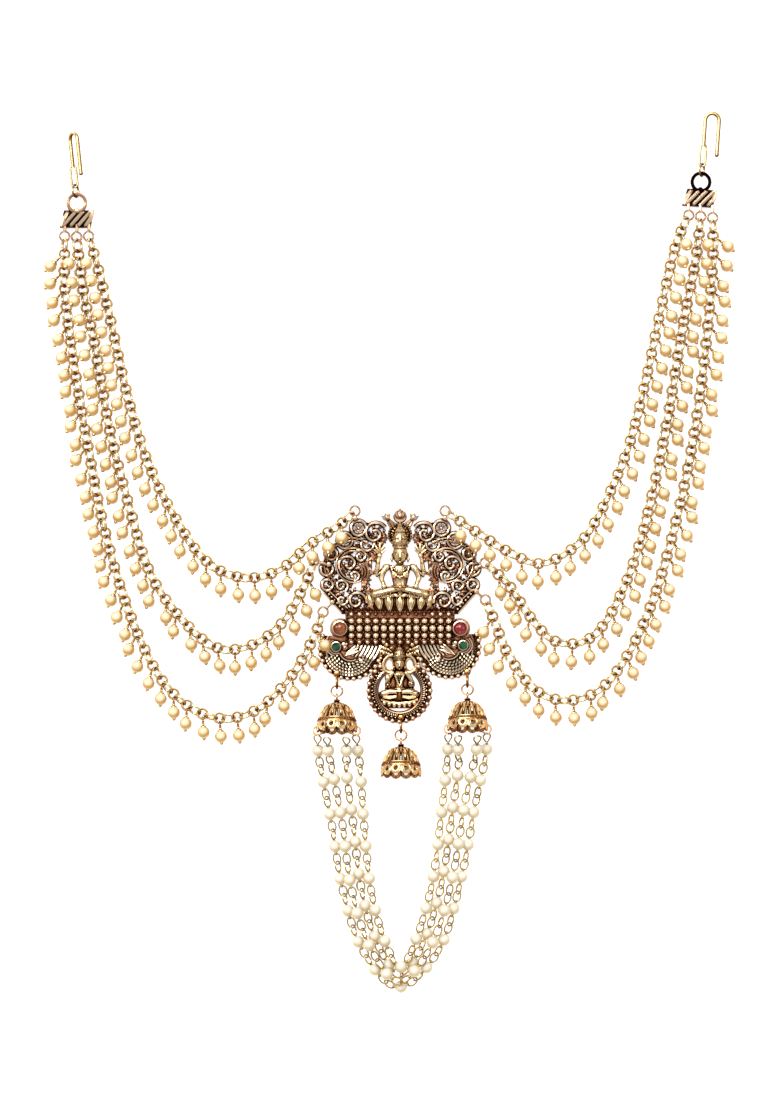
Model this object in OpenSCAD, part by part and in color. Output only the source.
// Hair bun pin with fringed side chains and a swag of pearls, lying face up.
// Origin: middle of the beaded bar, on the plane of the plate's back. +Y is the crest's top.

/* [Plate] */
// Thickness of the cast base
plate_t = 1.4; // [1.2:0.1:1.8]
// Height of the raised scrolls above the base
ridge_h = 0.9; // [0.6:0.1:1.2]
// Width of a scroll at the base
web_w = 1.3; // [1.1:0.1:1.5]
// Width of a scroll's raised ridge
ridge_w = 0.7; // [0.5:0.1:0.9]

/* [Bead bar] */
// Length of the bar between its end cups
bar_l = 36; // [34:1:38]
// Width of the bar across its beads
bar_w = 11; // [10:0.5:12]
// Radius of the bar's dome
bar_dome_r = 10.4; // [9:0.2:12]
// Height of the bar's top above the floor
bar_h = 3.7; // [3.4:0.1:4.2]
// Wall of the hollow bar
bar_wall = 0.9; // [0.7:0.1:1.2]
// Distance between the columns of beads
bead_pitch = 2.7; // [2.6:0.05:2.8]
// Number of bead columns
bead_columns = 13; // [9:2:13]

/* [Lobes and medallion] */
// Outer radius of a peacock lobe
lobe_r = 11.1; // [10.6:0.1:11.4]
// Outer radius of the medallion
medal_r = 11.2; // [10.8:0.1:11.5]
// Radius of the medallion's inner ring
medal_ring_r = 7.3; // [7:0.1:7.8]

/* [Bells] */
// Radius of a bell's mouth
bell_r = 6.8; // [6.4:0.1:7.2]
// Height of a bell's dome
bell_h = 9.4; // [9:0.2:10]
// Thickness of a bell's wall
bell_wall = 0.6; // [0.5:0.1:0.8]
// Number of scallops round the mouth
scallops = 12; // [10:2:14]
// Angle by which a lying bell's top dips to the floor
bell_dip = 11; // [9:1:12]

/* [Chains] */
// Wire of a chain ring
link_wire = 0.66; // [0.6:0.02:0.7]
// Radius of a flat ring at the middle of its wire
flat_ring_r = 1.62; // [1.6:0.01:1.65]
// Radius of a standing ring at the middle of its wire
tall_ring_r = 2.15; // [2.1:0.01:2.2]
// Longest distance between two flat rings
link_pitch = 6; // [5.9:0.02:6]
// Diameter of a drop's pearl
pearl_d = 4.1; // [3.8:0.1:4.2]
// Distance from a flat ring's centre to its pearl's centre
drop_reach = 6.2; // [6:0.1:6.4]
// Angle that a drop keeps from the line of its chain
drop_angle = 45; // [42:1:48]

/* [Swag] */
// Diameter of a pearl strand of the swag
strand_d = 3.2; // [2.8:0.1:3.4]

/* [Ends] */
// Length of an end bar across its chains
end_bar_l = 11.4; // [11:0.2:12.4]
// Width of an end bar along its chains
end_bar_w = 5.8; // [5:0.2:6.2]
// Thickness of an end bar
end_bar_t = 3.2; // [3:0.1:3.4]
// Wire of a hook
hook_wire = 1.3; // [1.1:0.1:1.4]
// Distance between the two legs of a hook
hook_gap = 4.6; // [4.4:0.1:5.4]

/* [Hair pin] */
// Wire of the hair pin
pin_wire = 1.3; // [1.1:0.1:1.4]
// Length of the hair pin along its prongs
pin_l = 31; // [29:0.5:31.5]
// Distance between the middles of the two prongs
pin_gap = 5; // [4.6:0.2:5.4]

/* [Hidden] */
$fn = 32;

// Room left between two pieces that touch in the real pin
fit_gap = 0.1;
antique = "#8a6a48";
bright = "#c9953f";
pale = "#dcb877";
cream = "#f0d9a8";

link_r = link_wire / 2;
// Height of every ring's centre above the floor
chain_z = tall_ring_r + link_r;
pearl_r = pearl_d / 2;
ridge_top = plate_t + ridge_h;

// The crest's scrolls on its right half, mirrored for the left.
// x, y, radius at start, radius at end, angle at start, angle at end
scrolls = [
    [8.4, 31.5, 4.0, 0.9, 150, -290],
    [11.4, 28.0, 2.9, 0.7, 172, 470],
    [15.5, 21.0, 5.2, 5.3, 150, -114],
    [13.3, 23.9, 2.3, 0.7, 60, 420],
    [17.1, 21.2, 3.5, 0.8, -25, 330],
    [15.3, 17.5, 1.9, 0.7, -90, -400],
    [14.5, 9.0, 3.4, 1.0, 190, -190],
    [19.6, 14.1, 2.3, 0.8, 230, -150],
    [19.3, 9.4, 2.1, 0.7, 140, 480],
    [13.8, 33.3, 2.5, 2.5, 0, 360],
    [18.4, 29.2, 2.5, 2.5, 0, 360],
    [22.9, 24.8, 1.9, 1.9, 0, 360],
    [24.4, 19.6, 2.0, 2.0, 0, 360],
    [24.2, 14.4, 1.8, 1.8, 0, 360],
    [17.0, 20.5, 9.6, 7.0, 128, -55],
    [15.0, 18.7, 2.6, 2.6, 124, 232],
    [15.0, 18.7, 3.5, 3.5, 122, 234],
    [15.0, 18.7, 4.4, 4.4, 120, 236]
];

// Petals of the seat under the figure: x, y, half width, length
lotus_petals = [[0, 8.6, 1.5, 6.6], [3.4, 8.7, 1.5, 6.2], [6.6, 9, 1.5, 5.8], [9.4, 9.6, 1.3, 5]];

// Limbs of the seated figure on its right half: x, y at start, x, y at end, radius, height
limbs = [
    [4.4, 20.2, 6.2, 16.6, 0.95, 1.9],
    [6.2, 16.6, 5.4, 14.4, 0.8, 2.1],
    [4.8, 20.4, 7.5, 17.6, 0.85, 1.6],
    [7.5, 17.6, 7.1, 23.6, 0.75, 1.7],
    [1.6, 12.6, 8.4, 11.2, 1.6, 1.7]
];
// Balls at the joints, hands, knees and breasts of the right half: x, y, radius, height
joints = [
    [4.7, 20.3, 1.35, 1.7], [6.2, 16.6, 1.1, 1.9], [5.4, 14.2, 1.25, 2.1], [7.5, 17.6, 1.0, 1.6],
    [7.1, 23.8, 1.1, 1.8], [8.6, 11.2, 1.95, 1.5], [2.0, 17.6, 1.5, 2.4], [4.8, 36.6, 1.3, 1.4]
];

// Middles of the two peacock lobes
lobe_places = [[-16.5, -6.7], [16.2, -6.2]];

// The bells: x of the bell and y of its lug on the plate
bell_places = [[-21, -17.9], [22.4, -17.4], [0.3, -32.6]];
bell_axis = [0, cos(bell_dip), -sin(bell_dip)];
// Height at which a lying dome just touches the floor
bell_z = sqrt(pow(bell_r * cos(bell_dip), 2) + pow(bell_h * sin(bell_dip), 2));
bell_loop_at = bell_h + 2;
bell_loop_r = 0.95;
lug_r = 2.1;
lug_wire = 0.6;
lug_z = lug_r + lug_wire / 2;
ring_r = 1.9;

// Routes of the side chains from end bar to plate, as seen from above
left_inner = [
    [-103.6, 130.4], [-100, 118], [-95.9, 100.7], [-90.6, 77], [-83, 53], [-71, 30.5], [-62, 20.5],
    [-51, 16.8], [-40, 19.6], [-30, 28], [-20, 34.6], [-15, 39]
];
left_middle = [
    [-107.6, 130.2], [-105.6, 113], [-101.6, 94], [-96.6, 66], [-90, 40], [-83, 18], [-73, 3.5],
    [-61.5, -6.2], [-50, -5.8], [-39.5, 1.6], [-32, 14], [-28.6, 22.4]
];
left_outer = [
    [-111.6, 130.4], [-111.6, 113], [-109, 91], [-104, 61], [-98.6, 34], [-91, 7.6], [-81, -14.6],
    [-70.6, -25.8], [-59, -30], [-47, -26.6], [-36, -15.5], [-29, -3.5], [-25.6, 5.4]
];
right_inner = [
    [96, 137.4], [91.5, 127], [86.4, 105], [81.4, 81.4], [75.4, 59], [66, 37.6], [58.6, 27.6],
    [47, 21.6], [36, 25.6], [26, 31.8], [15, 39]
];
right_middle = [
    [100, 137], [98.4, 123], [94, 100.4], [88, 64.4], [80, 29.4], [71.4, 7.4], [62.6, -3.6],
    [52, -4.4], [44, 3], [36, 14.6], [28.2, 21.6]
];
right_outer = [
    [104, 136.6], [104, 122], [101.2, 89], [95.6, 52.6], [87, 18], [78, -4.6], [67.6, -19.4],
    [56, -24], [45, -20.4], [36, -8.8], [31.6, 2], [28.4, 9.4]
];

// Height of a pearl's centre along an inner chain: distance from the end bar, height.
// By the end bar the pearls lie on the next chain.
lift_left = [[0, 6.3], [20, 6.0], [35, 5.4], [48, 4.6], [58, 3.6], [66, 2.1], [900, 2.1]];
lift_right = [[0, 6.3], [10, 5.4], [22, 4.4], [32, 3.2], [38, 2.1], [900, 2.1]];
// Height over the crest, and how far from the chain's end that begins
pearl_over_crest = 5.6;
crowded_end = 26;

// The crest's chain lugs: foot of the post, middle of the ring
lug_posts = [
    [[-15, 36.6], left_inner[len(left_inner) - 1]],
    [[-23.7, 21.2], left_middle[len(left_middle) - 1]],
    [[-22.6, 8.6], left_outer[len(left_outer) - 1]],
    [[15, 36.6], right_inner[len(right_inner) - 1]],
    [[25.4, 20], right_middle[len(right_middle) - 1]],
    [[25.4, 12.2], right_outer[len(right_outer) - 1]]
];

// Routes of the swag's strands from the left bell to the right one
strand_routes = [
    [[-27.4, -36.2, 6.9], [-27.2, -41.5, 3.2], [-25.8, -50, 1.9], [-22.8, -65, 1.9], [-19.2, -86.6, 1.9],
     [-12.6, -107, 1.9], [-0.6, -119.6, 1.9], [13, -107, 1.9], [20.2, -84, 1.9], [24.6, -61, 1.9],
     [27.6, -47, 1.9], [28.7, -41, 3.2], [28.8, -35.7, 6.9]],
    [[-24.2, -36.7, 11.4], [-23.6, -42, 6], [-22, -50, 2.4], [-19.2, -65, 3.1], [-16.2, -86.4, 4.2],
     [-10.2, -105.4, 4.9], [-0.4, -117.4, 5.2], [10.4, -105.4, 4.9], [17.2, -84, 4.2], [21, -61, 3.1],
     [24, -47, 2.6], [25.2, -41.6, 6], [25.6, -36.2, 11.4]],
    [[-17.8, -36.7, 11.4], [-17.8, -42, 6], [-17.6, -50, 2.1], [-15.6, -65, 1.9], [-13, -86.2, 1.9],
     [-8, -104, 1.9], [-0.2, -115.2, 1.9], [8, -104, 1.9], [14, -84, 1.9], [17.4, -61, 1.9],
     [19.4, -47, 2.4], [19.3, -41.6, 6], [19.2, -36.2, 11.4]],
    [[-14.6, -36.2, 6.9], [-13.9, -41.5, 3.2], [-13, -50, 2.2], [-12, -65, 3.1], [-9.8, -86, 4.2],
     [-5.6, -102.4, 4.9], [0, -112.6, 5.2], [5.6, -102.4, 4.9], [10.8, -84, 4.2], [13.8, -61, 3.1],
     [15.4, -47, 2.2], [15.9, -41, 3.2], [16, -35.7, 6.9]]
];

function spiral(s, n) = [
    for (i = [0:n])
        let (t = i / n, a = s[4] + (s[5] - s[4]) * t, r = s[2] + (s[3] - s[2]) * t)
        [s[0] + r * cos(a), s[1] + r * sin(a)]
];
// Height of a pearl at the distance s along an inner chain
function pearl_height(s, total, lift) = total - s < crowded_end ? pearl_over_crest : lookup(s, lift);
function unit(v) = v / norm(v);
function tangent(p, i) = unit(p[min(i + 1, len(p) - 1)] - p[max(i - 1, 0)]);
function turned(v) = [-v[1], v[0]];
function stroke(p, w) = concat(
    [for (i = [0:len(p) - 1]) p[i] + turned(tangent(p, i)) * w / 2],
    [for (i = [len(p) - 1:-1:0]) p[i] - turned(tangent(p, i)) * w / 2]
);
function ellipse(a, b, n) = [for (i = [0:n - 1]) [a * cos(360 * i / n), b * sin(360 * i / n)]];
function arc(r, a0, a1, n) = [for (i = [0:n]) let (a = a0 + (a1 - a0) * i / n) [r * cos(a), r * sin(a)]];

// A smooth curve through the points of a route
function curve_point(p, i, t) =
    let (
        last = len(p) - 1,
        a = p[max(i - 1, 0)],
        b = p[i],
        c = p[min(i + 1, last)],
        d = p[min(i + 2, last)]
    )
    0.5 * (2 * b + (c - a) * t + (2 * a - 5 * b + 4 * c - d) * t * t + (3 * b - a - 3 * c + d) * t * t * t);
function smooth(p, steps) = [
    for (i = [0:len(p) - 2]) for (k = [0:steps - 1]) curve_point(p, i, k / steps),
    p[len(p) - 1]
];
// Distance along the curve at each of its points
function runs(p) = [
    for (i = 0, s = 0; i < len(p); s = s + (i + 1 < len(p) ? norm(p[i + 1] - p[i]) : 0), i = i + 1) s
];
function table(p, run, axis) = [for (i = [0:len(p) - 1]) [run[i], p[i][axis]]];
function at(p, run, s) = [for (axis = [0:len(p[0]) - 1]) lookup(s, table(p, run, axis))];
function heading(p, run, s) = let (d = at(p, run, s + 0.5) - at(p, run, s - 0.5)) atan2(d[1], d[0]);

// Direction of a drop from its ring, for a chain whose lower side is on its left
function drop_heading(a) =
    let (from_down = abs(((a % 180) + 180) % 180 - 90))
    from_down > drop_angle ? -90 : (sin(a) < 0 ? a + drop_angle : a + 180 - drop_angle);

module torus(r, wire) {
    rotate_extrude() translate([r, 0]) circle(wire / 2);
}

module rod(p, q, r) {
    d = q - p;
    translate(p)
        rotate([0, acos(d[2] / norm(d)), atan2(d[1], d[0])])
            cylinder(h = norm(d), r = r);
}

module both_sides() {
    children();
    mirror([1, 0, 0]) children();
}

// A tube swept along points in space, closed at both ends
module tube(points, d, sides = 8) {
    n = len(points);
    rings = [
        for (i = [0:n - 1])
            let (
                t = tangent(points, i),
                side = unit(cross(t, [0, 0, 1])),
                up = cross(side, t)
            )
            for (k = [0:sides - 1])
                points[i] + (side * cos(360 * k / sides) + up * sin(360 * k / sides)) * d / 2
    ];
    walls = [
        for (i = [0:n - 2]) for (k = [0:sides - 1])
            let (a = i * sides + k, b = i * sides + (k + 1) % sides)
            for (f = [[a, a + sides, b], [b, a + sides, b + sides]]) f
    ];
    caps = [
        [for (k = [0:sides - 1]) k],
        [for (k = [sides - 1:-1:0]) (n - 1) * sides + k]
    ];
    polyhedron(rings, concat(walls, caps));
}

module scroll_strokes(w) {
    both_sides()
        for (s = scrolls)
            polygon(stroke(spiral(s, max(8, ceil(abs(s[5] - s[4]) / 30))), w));
}

module petal(p) {
    translate([p[0], p[1] - p[3] / 2])
        intersection() {
            translate([p[3] * 0.6, p[3] / 2]) circle(p[3] * 0.6 + p[2]);
            translate([-p[3] * 0.6, p[3] / 2]) circle(p[3] * 0.6 + p[2]);
        }
}

module crest_base() {
    linear_extrude(plate_t)
        offset(delta = 0.05) {
            scroll_strokes(web_w);
            translate([0, 31]) circle(4.2);
            translate([0, 24.4]) circle(3.1);
            polygon([[-5.2, 21], [5.2, 21], [2.4, 14.4], [8.6, 12.6], [12, 10.6], [12, 4.6],
                [-12, 4.6], [-12, 10.6], [-8.6, 12.6], [-2.4, 14.4]]);
            translate([-19.5, 4.6]) square([39, 2.2]);
            both_sides() {
                polygon([[19, 4.6], [25.6, 12.2], [24.2, 13.2], [17, 6.8]]);
                polygon([[2.4, 32.8], [5.6, 37.2], [4.2, 38], [0.8, 34.4]]);
                polygon(stroke([[5, 20.6], [7.4, 17.4], [7.1, 24], [8.6, 27.6]], 1.5));
                polygon(stroke([[4.6, 20.4], [6.2, 16.4], [5, 13.4]], 1.5));
                polygon(stroke([[7.4, 18.4], [10.4, 19]], 1.1));
                polygon(stroke([[7.2, 22], [10.6, 24.6]], 1.1));
            }
            translate([0, 37.2]) circle(2.3);
        }
}

module crest_ridges() {
    translate([0, 0, plate_t - 0.2])
        linear_extrude(ridge_h + 0.2)
            offset(delta = 0.02) scroll_strokes(ridge_w);
    both_sides()
        for (i = [0:5])
            let (t = i / 5, p = [19.4 + 5.2 * t, 6.4 + 6 * t])
            translate([p[0], p[1], plate_t]) sphere(0.6);
}

module above_floor() {
    intersection() {
        union() children();
        translate([-40, -60, 0]) cube([80, 120, 20]);
    }
}

module figure() {
    translate([0, 24.6, 1.6]) sphere(2.7);
    translate([0, 31, plate_t - 0.2])
        difference() {
            cylinder(h = 1.1, r = 4.1);
            translate([0, 0, 0.5]) cylinder(h = 1, r = 3.3);
        }
    translate([0, 27, 1.6]) rotate([-90, 0, 0]) cylinder(h = 6.4, r1 = 2.3, r2 = 0.9);
    translate([0, 33.8, 1.8]) sphere(1.2);
    translate([0, 38.4, 1.4]) sphere(1.6);
    translate([0, 13.4, 1.2]) rotate([-90, 0, 0]) cylinder(h = 7.2, r1 = 1.9, r2 = 2.9);
    translate([0, 20.4, 1.5]) rotate([-90, 0, 0]) cylinder(h = 2.4, r = 1.1);
    both_sides() {
        for (l = limbs) rod([l[0], l[1], l[5]], [l[2], l[3], l[5]], l[4]);
        for (j = joints) translate([j[0], j[1], j[3]]) sphere(j[2]);
        for (i = [0:2])
            rod([7.1, 24, 1.7], [6.2 + 1.3 * i, 27.4 - 0.4 * i, 2], 0.55);
    }
    for (side = [-1, 1]) for (p = lotus_petals)
        if (side > 0 || p[0] > 0)
            translate([side * p[0], 0, plate_t - 0.2])
                linear_extrude(1.1 - 0.04 * p[0]) offset(delta = 0.02) petal([0, p[1], p[2], p[3]]);
}

// Rings cast on posts at the crest's rim, which hold the chains' last links
module crest_lugs() {
    for (p = lug_posts) {
        post = [p[0][0], p[0][1], chain_z];
        end = [p[1][0], p[1][1], chain_z];
        translate([post[0], post[1], 0]) cylinder(h = chain_z + 0.5, r = 0.8);
        rod(post, end - unit(end - post) * 1.5, 0.4);
        translate(end) torus(flat_ring_r, link_wire);
    }
}

module bead_bar() {
    sag = bar_dome_r - sqrt(bar_dome_r * bar_dome_r - bar_w * bar_w / 4);
    half = asin(bar_w / 2 / bar_dome_r);
    inner = [
        [bar_w / 2 - bar_wall, -1], [bar_w / 2 - bar_wall, bar_h - sag - bar_wall + 0.1],
        [0, bar_h - bar_wall], [-bar_w / 2 + bar_wall, bar_h - sag - bar_wall + 0.1], [-bar_w / 2 + bar_wall, -1]
    ];
    outer = concat(
        [[bar_w / 2, 0]],
        [for (p = arc(bar_dome_r, 90 - half, 90 + half, 8)) p + [0, bar_h - bar_dome_r]],
        [[-bar_w / 2, 0]]
    );
    difference() {
        rotate([90, 0, 90]) linear_extrude(bar_l + 0.4, center = true) polygon(outer);
        rotate([90, 0, 90]) linear_extrude(bar_l - 1, center = true) polygon(inner);
    }
    // Seats through which both prongs of the hair pin pass
    for (x = [-11.6, 0])
        translate([x, 0, 0])
            difference() {
                translate([-1.2, -bar_w / 2 + 0.4, 0]) cube([2.4, bar_w - 0.8, 2.4]);
                for (side = [-1, 1])
                    translate([-2, side * pin_gap / 2, pin_wire / 2 + 0.3])
                        rotate([0, 90, 0]) cylinder(h = 4, r = pin_wire / 2 + fit_gap);
            }
    for (row = [-2:2]) {
        r = [1.15, 0.95, 0.8][abs(row)];
        y = bar_dome_r * sin(13.2 * row);
        z = bar_h - bar_dome_r + bar_dome_r * cos(13.2 * row);
        for (i = [0:bead_columns - 1])
            translate([(i - (bead_columns - 1) / 2) * bead_pitch, y, z + 0.1]) sphere(r);
    }
    for (side = [-1, 1]) translate([side * 20, 0, 0]) end_cup();
}

// Stepped cup that holds a round stone at each end of the bar
module end_cup() {
    rotate_extrude()
        polygon([[0, 0], [3.3, 0], [3.3, 1.8], [3.0, 2.2], [3.0, 3.2], [2.6, 3.5], [2.6, 4.2], [2.1, 4.6],
            [2.1, 4.0], [0, 4.0]]);
}

module end_cup_stone() {
    translate([0, 0, 4.0 + fit_gap])
        intersection() {
            cylinder(h = 2, r = 1.98);
            translate([0, 0, -2.0]) sphere(2.95);
        }
}

module lobe() {
    difference() {
        union() {
            cylinder(h = plate_t, r = lobe_r - 0.5);
            translate([0, 0, plate_t - 0.2]) cylinder(h = 0.6, r = lobe_r - 2.3);
        }
        // The bar is hollow over this corner
        translate([-12, 1.9, -1]) cube([12.6, 12, 5]);
    }
    for (i = [0:15])
        rotate(24 - i * 12) translate([lobe_r - 0.9, 0, plate_t]) sphere(0.88);
}

// Raised peacock on the right lobe: neck round the eye, body, and wing feathers fanned to the middle
module peacock() {
    translate([0, 0, plate_t + 0.2])
        linear_extrude(0.9)
            offset(delta = 0.02) {
                polygon(stroke(spiral([1.6, -1.4, 6.2, 5.4, 64, -50], 8), 0.9));
                polygon(stroke(spiral([0.6, -1.6, 6.6, 6.0, -55, -130], 8), 1.4));
                for (i = [0:5])
                    polygon(stroke([[1.4 - 0.5 * i, -1 - 0.3 * i], [-2.6 - 0.4 * i, 0.4 - 0.7 * i],
                        [-5.6 - 0.3 * i, min(1.5, 3.2 - 1.5 * i)]], 0.55));
            }
    for (row = [0:2]) for (i = [0:5])
        translate([-2.8 + 1.35 * i + 0.3 * row, -3.8 - 1.2 * row + 0.12 * i, plate_t + 0.4]) sphere(0.52);
    translate([4.8, 0.5, plate_t]) cylinder(h = 1.5, r = 1.9);
}

module eye_stone() {
    translate([0, 0, plate_t + 1.5 + fit_gap]) {
        cylinder(h = 0.5, r = 1.43, $fn = 8);
        translate([0, 0, 0.5]) cylinder(h = 0.5, r1 = 1.43, r2 = 0.85, $fn = 8);
    }
}

// Openings on both sides of the small figure's head
module medal_windows() {
    for (side = [-1, 1]) translate([side * 3.4, 8.5]) polygon(ellipse(1.1, 1.9, 12));
}

module medallion() {
    linear_extrude(plate_t)
        offset(delta = 0.02)
            difference() {
                union() {
                    circle(medal_r - 0.5, $fn = 48);
                    translate([-6.4, 7]) square([12.8, 8.8]);
                }
                circle(medal_ring_r - 0.4, $fn = 36);
                medal_windows();
            }
    translate([0, 0, plate_t - 0.2])
        linear_extrude(1.1)
            offset(delta = 0.02)
                difference() {
                    circle(medal_ring_r + 0.5, $fn = 40);
                    circle(medal_ring_r - 0.25, $fn = 40);
                    medal_windows();
                }
    for (i = [3:25]) rotate(90 + i * 360 / 28) translate([medal_r - 0.9, 0, plate_t]) sphere(0.88);
    for (i = [4:28]) rotate(90 + i * 360 / 32) translate([medal_r - 2.5, 0, plate_t]) sphere(0.62);
    above_floor() small_figure();
}

// Seated figure inside the medallion's ring
module small_figure() {
    linear_extrude(plate_t)
        offset(delta = 0.02) {
            translate([0, 9]) circle(2.2);
            polygon([[-6.7, -0.6], [-4.9, 0.3], [-4.8, 2.8], [-3.2, 5.9], [-2, 8], [2, 8], [3.2, 5.9],
                [4.8, 2.8], [4.9, 0.3], [6.7, -0.6], [6.6, -2.8], [4.2, -5.9], [-4.2, -5.9], [-6.6, -2.8]]);
        }
    translate([0, 8.9, 1.4]) sphere(1.85);
    translate([0, 10.3, 1.5]) rotate([-90, 0, 0]) cylinder(h = 4.7, r1 = 1.7, r2 = 0.5);
    translate([0, 0.9, 1.1]) rotate([-90, 0, 0]) cylinder(h = 5.6, r1 = 1.3, r2 = 1.8);
    both_sides() {
        rod([2.3, 5.7, 1.5], [4, 3.2, 1.5], 0.75);
        rod([2.6, 5.8, 1.3], [5.1, 7.2, 1.3], 0.65);
        rod([5.1, 7.2, 1.3], [4.6, 11, 1.3], 0.6);
        translate([4.4, 11.8, 1.3]) sphere(1.1);
        translate([2.4, 5.8, 1.4]) sphere(0.95);
        translate([4.2, 2.2, 1.4]) sphere(1.3);
        rod([1, -0.2, 1.4], [5, -1.4, 1.4], 1.1);
        translate([5, -1.4, 1.3]) sphere(1.35);
    }
    for (i = [-2:2])
        translate([0, 0, plate_t - 0.2])
            linear_extrude(1.0 + 0.05 * i * i) offset(delta = 0.02) petal([1.8 * i, -4.4, 0.95, 2.6]);
}

// Standing ring at the plate's edge, on a small boss, from which a bell hangs
module bell_lug(place) {
    translate([place[0], place[1], lug_z]) rotate([0, 90, 0]) torus(lug_r, lug_wire);
    translate([place[0], place[1] + lug_r + 0.7, 0]) cylinder(h = 3.1, r = 1.1);
}

module plate() {
    color(antique) {
        crest_base();
        crest_ridges();
        above_floor() figure();
        crest_lugs();
        bead_bar();
        for (p = lobe_places)
            translate([p[0], p[1], 0]) mirror([p[0] < 0 ? 1 : 0, 0, 0]) {
                lobe();
                peacock();
            }
        translate([-0.2, -20.8, 0]) medallion();
        for (p = bell_places) bell_lug(p);
    }
}

module hair_pin() {
    bend = pin_gap / 2;
    leg = pin_l - bend;
    color(pale)
        translate([-bar_l / 2 + 2.2, 0, pin_wire / 2 + 0.3]) {
            translate([bend, 0, 0])
                rotate([0, 0, 90])
                    rotate_extrude(angle = 180) translate([bend, 0]) circle(pin_wire / 2);
            for (side = [-1, 1]) {
                translate([bend, side * bend, 0]) rotate([0, 90, 0]) cylinder(h = leg, r = pin_wire / 2);
                translate([bend + leg, side * bend, 0])
                    rotate([0, 90, 0]) cylinder(h = 1, r1 = pin_wire / 2, r2 = 0.25);
            }
        }
}

function bell_loop(place) =
    let (
        drop = bell_loop_z - lug_z,
        reach = ring_to_lug + ring_to_loop
    )
    [place[0], place[1] - sqrt(reach * reach - drop * drop), bell_loop_z];
bell_loop_z = bell_z - bell_loop_at * sin(bell_dip);
ring_to_lug = lug_r + ring_r - lug_wire - fit_gap;
ring_to_loop = bell_loop_r + ring_r - lug_wire - fit_gap;
ring_slope = asin((bell_loop_z - lug_z) / (ring_to_lug + ring_to_loop));
function bell_mouth(place) = bell_loop(place) - bell_axis * bell_loop_at;

module in_bell(place) {
    translate(bell_mouth(place)) rotate([-90 - bell_dip, 0, 0]) children();
}

// Dome with a scalloped mouth, round holes over the scallops, and slots between its petals
module bell(place) {
    band = 3.2;
    dome = [for (a = [0:11.25:90]) [bell_r * cos(a), band * 0 + bell_h * sin(a)]];
    inner = [for (a = [0:11.25:90]) [(bell_r - bell_wall) * cos(a), (bell_h - bell_wall) * sin(a)]];
    color(bright)
        in_bell(place) {
            difference() {
                rotate_extrude()
                    polygon(concat(dome, [for (i = [len(inner) - 1:-1:0]) inner[i]]));
                for (i = [0:scallops - 1])
                    rotate([0, 0, i * 360 / scallops]) {
                        translate([bell_r - 2, 0, 1.75]) rotate([0, 90, 0]) cylinder(h = 4, r = 0.85);
                        rotate([0, 0, 180 / scallops])
                            translate([bell_r - 2, 0, -0.5]) rotate([0, 90, 0]) cylinder(h = 4, r = 1.05);
                        translate([3.4, -0.3, 4.3]) cube([4, 0.6, 3.4]);
                    }
            }
            translate([0, 0, bell_h]) sphere(1.1);
            translate([0, 0, bell_loop_at]) rotate([0, 90, 0]) torus(bell_loop_r, lug_wire);
        }
}

module bell_ring(place) {
    color(pale)
        translate([place[0], place[1] - ring_to_lug * cos(ring_slope), lug_z + ring_to_lug * sin(ring_slope)])
            rotate([-ring_slope, 0, 0]) torus(ring_r, lug_wire);
}

// Four jump rings through the holes of the mouth
module rim_rings(place) {
    color(pale)
        in_bell(place)
            for (a = [0, 180, 240, 300])
                rotate([0, 0, a]) translate([bell_r - 0.5, 0, 0.1]) rotate([90, 0, 0]) torus(1.5, 0.56);
}

// End bar with slanted rope ridges, a ring for the hook and three lugs for the chains
module end_bar(at, turn, starts) {
    color(antique) {
        translate([at[0], at[1], 0]) rotate([0, 0, turn]) {
            intersection() {
                linear_extrude(end_bar_t + 1)
                    offset(r = 0.4)
                        polygon([[-end_bar_l / 2 + 0.4, -end_bar_w / 2 + 0.4], [end_bar_l / 2 - 1, -end_bar_w / 2 + 0.4],
                            [end_bar_l / 2 - 0.4, end_bar_w / 2 - 0.4], [-end_bar_l / 2 + 1.6, end_bar_w / 2 - 0.4]]);
                union() {
                    translate([-10, -5, 0]) cube([20, 10, end_bar_t - 0.7]);
                    for (i = [-2:2])
                        translate([i * 2.5, 0, end_bar_t - 1.0])
                            rotate([0, 0, 52]) rotate([0, 90, 0]) cylinder(h = 14, r = 0.95, center = true);
                }
            }
            translate([0, end_ring_at, end_ring_z]) torus(end_ring_r, 1);
            translate([0, end_bar_w / 2 - 0.2, 0]) cylinder(h = end_ring_z + 0.3, r = 0.9);
        }
        for (s = starts) {
            translate([s[0], s[1], chain_z]) torus(flat_ring_r, link_wire);
            rod([s[0], s[1] + 1.7, chain_z - 0.4], [s[0], s[1] + 4.0, chain_z - 0.4], 0.6);
        }
    }
}

left_bar_at = [-107.6, 136.2];
right_bar_at = [99.8, 143.2];
end_ring_r = 2.95;
end_ring_at = end_bar_w / 2 + 2.4;
end_ring_z = 2.3;
hook_ring_r = 2.05;
hook_ring_roll = 65;
hook_eye_r = 0.95;
hook_eye_wire = 0.76;
// Distances up from the middle of the end bar's ring
hook_ring_up = end_ring_r - 0.85 - fit_gap + hook_ring_r;
hook_eye_up = hook_ring_up + hook_ring_r - 0.35 - hook_eye_wire / 2 - fit_gap;

module at_end_ring(at, bar_turn, turn) {
    translate([at[0], at[1], end_ring_z]) rotate([0, 0, bar_turn])
        translate([0, end_ring_at, 0]) rotate([0, 0, turn - bar_turn]) children();
}

module hook_ring(at, bar_turn, turn) {
    color(bright)
        at_end_ring(at, bar_turn, turn)
            translate([0, hook_ring_up, 0]) rotate([0, hook_ring_roll, 0]) torus(hook_ring_r, 0.7);
}

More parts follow.
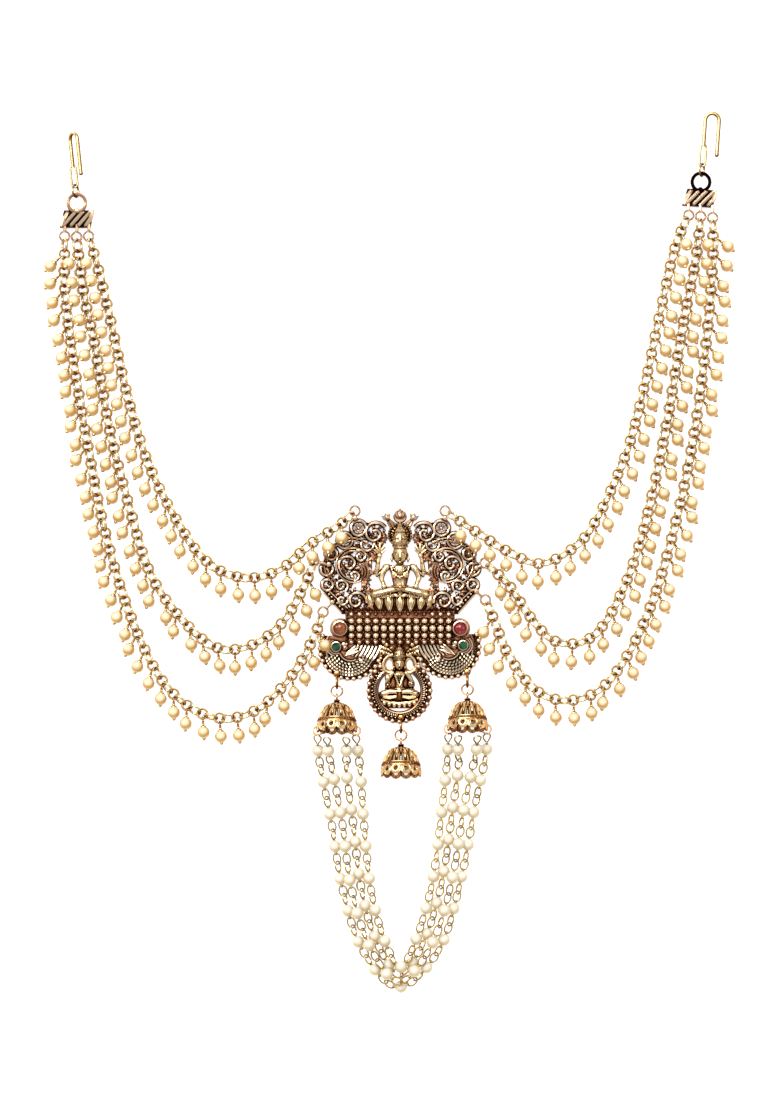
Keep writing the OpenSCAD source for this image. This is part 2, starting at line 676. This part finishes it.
// Hook bent from one wire, with a long narrow eye, rolled about its length
module hook(at, bar_turn, turn, roll) {
    bend_r = hook_gap / 2;
    shank = 8.4;
    eye_l = 5.2;
    color(bright)
        at_end_ring(at, bar_turn, turn)
            translate([0, hook_eye_up, 0]) {
                for (end = [0, 1])
                    translate([0, hook_eye_r + end * eye_l, 0]) rotate([0, 0, end * 180 + 180])
                        rotate_extrude(angle = 180) translate([hook_eye_r, 0]) circle(hook_eye_wire / 2);
                for (side = [-1, 1])
                    translate([side * hook_eye_r, hook_eye_r, 0])
                        rotate([-90, 0, 0]) cylinder(h = eye_l, r = hook_eye_wire / 2);
                translate([0, 2 * hook_eye_r + eye_l, 0]) rotate([0, roll, 0]) {
                    rotate([-90, 0, 0]) translate([0, 0, -0.3]) cylinder(h = shank + 0.3, r = hook_wire / 2);
                    translate([bend_r, shank, 0])
                        rotate_extrude(angle = 180) translate([bend_r, 0]) circle(hook_wire / 2);
                    translate([hook_gap, -3, 0]) rotate([-90, 0, 0]) cylinder(h = shank + 3, r = hook_wire / 2);
                    translate([hook_gap, -3, 0]) sphere(hook_wire / 2 + 0.1);
                }
            }
}

// One pearl on its wire: the eye through the ring, the wrapped wire, the pearl and the ball tip
module pearl_drop(height) {
    eye = 0.75;
    arm = drop_reach - flat_ring_r;
    translate([flat_ring_r, 0, 0]) rotate([0, asin((chain_z - height) / arm), 0]) {
        translate([0.08, 0, 0]) rotate([90, 0, 0]) torus(eye, 0.44);
        translate([0.08 + eye, 0, 0]) rotate([0, 90, 0]) cylinder(h = 2, r = 0.19);
        translate([0.43 + eye, 0, 0]) rotate([0, 90, 0]) cylinder(h = 1.7, r = 0.42);
        translate([arm, 0, 0]) rotate([0, 90, 0]) sphere(pearl_r);
        translate([arm + pearl_r + 0.25, 0, 0]) rotate([0, 90, 0]) sphere(0.5);
    }
}

// Chain of flat and standing rings in turn, with a pearl drop on every flat ring.
// The lugs at its two ends are its first and last flat rings.
module fringed_chain(route, lift) {
    line = smooth(route, 8);
    run = runs(line);
    total = run[len(run) - 1];
    count = ceil(total / link_pitch);
    step = total / count;
    for (i = [0:count - 1]) {
        s = (i + 0.5) * step;
        p = at(line, run, s);
        translate([p[0], p[1], chain_z])
            rotate([0, 0, heading(line, run, s)]) rotate([90, 0, 0]) torus(tall_ring_r, link_wire);
    }
    for (i = [1:count - 1]) {
        s = i * step;
        p = at(line, run, s);
        translate([p[0], p[1], chain_z]) {
            torus(flat_ring_r, link_wire);
            rotate([0, 0, drop_heading(heading(line, run, s))]) pearl_drop(pearl_height(s, total, lift));
        }
    }
}

// Plain tube along a chain's route, between the lugs at its ends
module chain_tube(route) {
    line = smooth(route, 8);
    run = runs(line);
    total = run[len(run) - 1];
    count = ceil(total / 9);
    color(pale)
        tube([for (i = [0:count])
            let (s = 2.3 + (total - 4.6) * i / count, p = at(line, run, s))
            [p[0], p[1], 2.2]], 3.4);
}

module strand_tube(route) {
    line = smooth(route, 6);
    run = runs(line);
    total = run[len(run) - 1];
    count = ceil(total / 7);
    color(cream) tube([for (i = [0:count]) at(line, run, total * i / count)], strand_d);
}

function flipped(route) = [for (p = route) [-p[0], p[1]]];

module inner_chain_left() {
    color(pale) mirror([1, 0, 0]) fringed_chain(flipped(left_inner), lift_left);
}

module inner_chain_right() {
    color(pale) fringed_chain(right_inner, lift_right);
}

plate();
color("#c46a28") translate([-20, 0, 0]) end_cup_stone();  // stone_left
color("#b3161f") translate([20, 0, 0]) end_cup_stone();  // stone_right
color("#0f5a3c") translate([lobe_places[0][0] - 4.8, lobe_places[0][1] + 0.5, 0]) eye_stone();  // eye_stone_left
color("#0f5a3c") translate([lobe_places[1][0] + 4.8, lobe_places[1][1] + 0.5, 0]) eye_stone();  // eye_stone_right
hair_pin();
bell(bell_places[0]);  // bell_left
bell(bell_places[1]);  // bell_right
bell(bell_places[2]);  // bell_centre
bell_ring(bell_places[0]);  // bell_ring_left
bell_ring(bell_places[1]);  // bell_ring_right
bell_ring(bell_places[2]);  // bell_ring_centre
rim_rings(bell_places[0]);  // rim_rings_left
rim_rings(bell_places[1]);  // rim_rings_right
end_bar(left_bar_at, 0, [left_inner[0], left_middle[0], left_outer[0]]);  // end_bar_left
end_bar(right_bar_at, -4, [right_inner[0], right_middle[0], right_outer[0]]);  // end_bar_right
hook_ring(left_bar_at, 0, 6);  // hook_ring_left
hook_ring(right_bar_at, -4, -4);  // hook_ring_right
hook(left_bar_at, 0, 6, -55);  // hook_left
hook(right_bar_at, -4, -4, 0);  // hook_right
inner_chain_left();  // chain_left_inner
chain_tube(left_middle);  // chain_left_middle
chain_tube(left_outer);  // chain_left_outer
inner_chain_right();  // chain_right_inner
chain_tube(right_middle);  // chain_right_middle
chain_tube(right_outer);  // chain_right_outer
strand_tube(strand_routes[0]);  // swag_strand_1
strand_tube(strand_routes[1]);  // swag_strand_2
strand_tube(strand_routes[2]);  // swag_strand_3
strand_tube(strand_routes[3]);  // swag_strand_4
